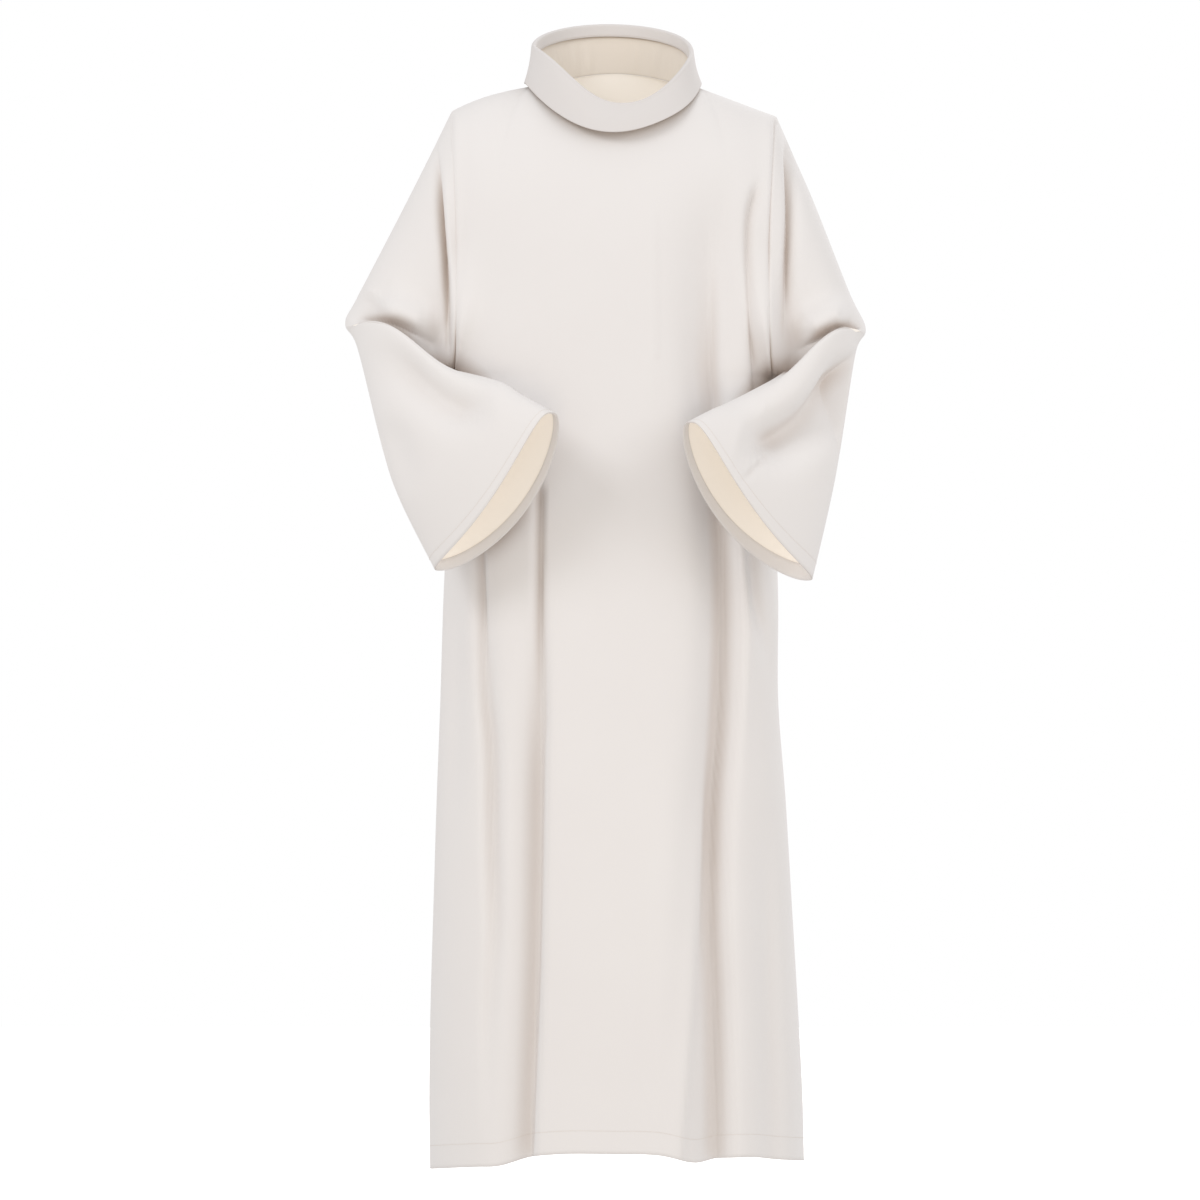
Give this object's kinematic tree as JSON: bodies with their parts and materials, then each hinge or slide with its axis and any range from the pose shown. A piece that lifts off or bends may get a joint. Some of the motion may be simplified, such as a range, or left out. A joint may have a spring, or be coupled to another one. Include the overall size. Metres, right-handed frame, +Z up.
{
  "type": "alb",
  "caption": "Calf-length alb in its hollow worn shape: rolled collar, slim flared body, wide bell sleeves bent forward at the elbow.",
  "frame": {"origin": "middle of the neck base, level with the points where the collar meets the shoulder seams", "axes": "+Z up along the standing wearer, the front of the garment faces -Y, the wearer's right sleeve is on -X"},
  "size_m": [0.7006, 0.4423, 1.5567],
  "materials": {
    "alb_cloth": "matte off-white polyester crepe with a soft drape",
    "collar_cloth": "the same off-white crepe, doubled and rolled",
    "hem_cloth": "inside of the same off-white crepe, turned up and stitched"
  },
  "bodies": {
    "root": {"front": "alb_cloth", "back": "alb_cloth", "sleeve_right": "alb_cloth", "sleeve_left": "alb_cloth", "collar_stand": "collar_cloth", "collar_fall": "collar_cloth", "hem_front": "hem_cloth", "hem_back": "hem_cloth", "cuff_hem_right": "hem_cloth", "cuff_hem_left": "hem_cloth"}
  },
  "joints": []
}
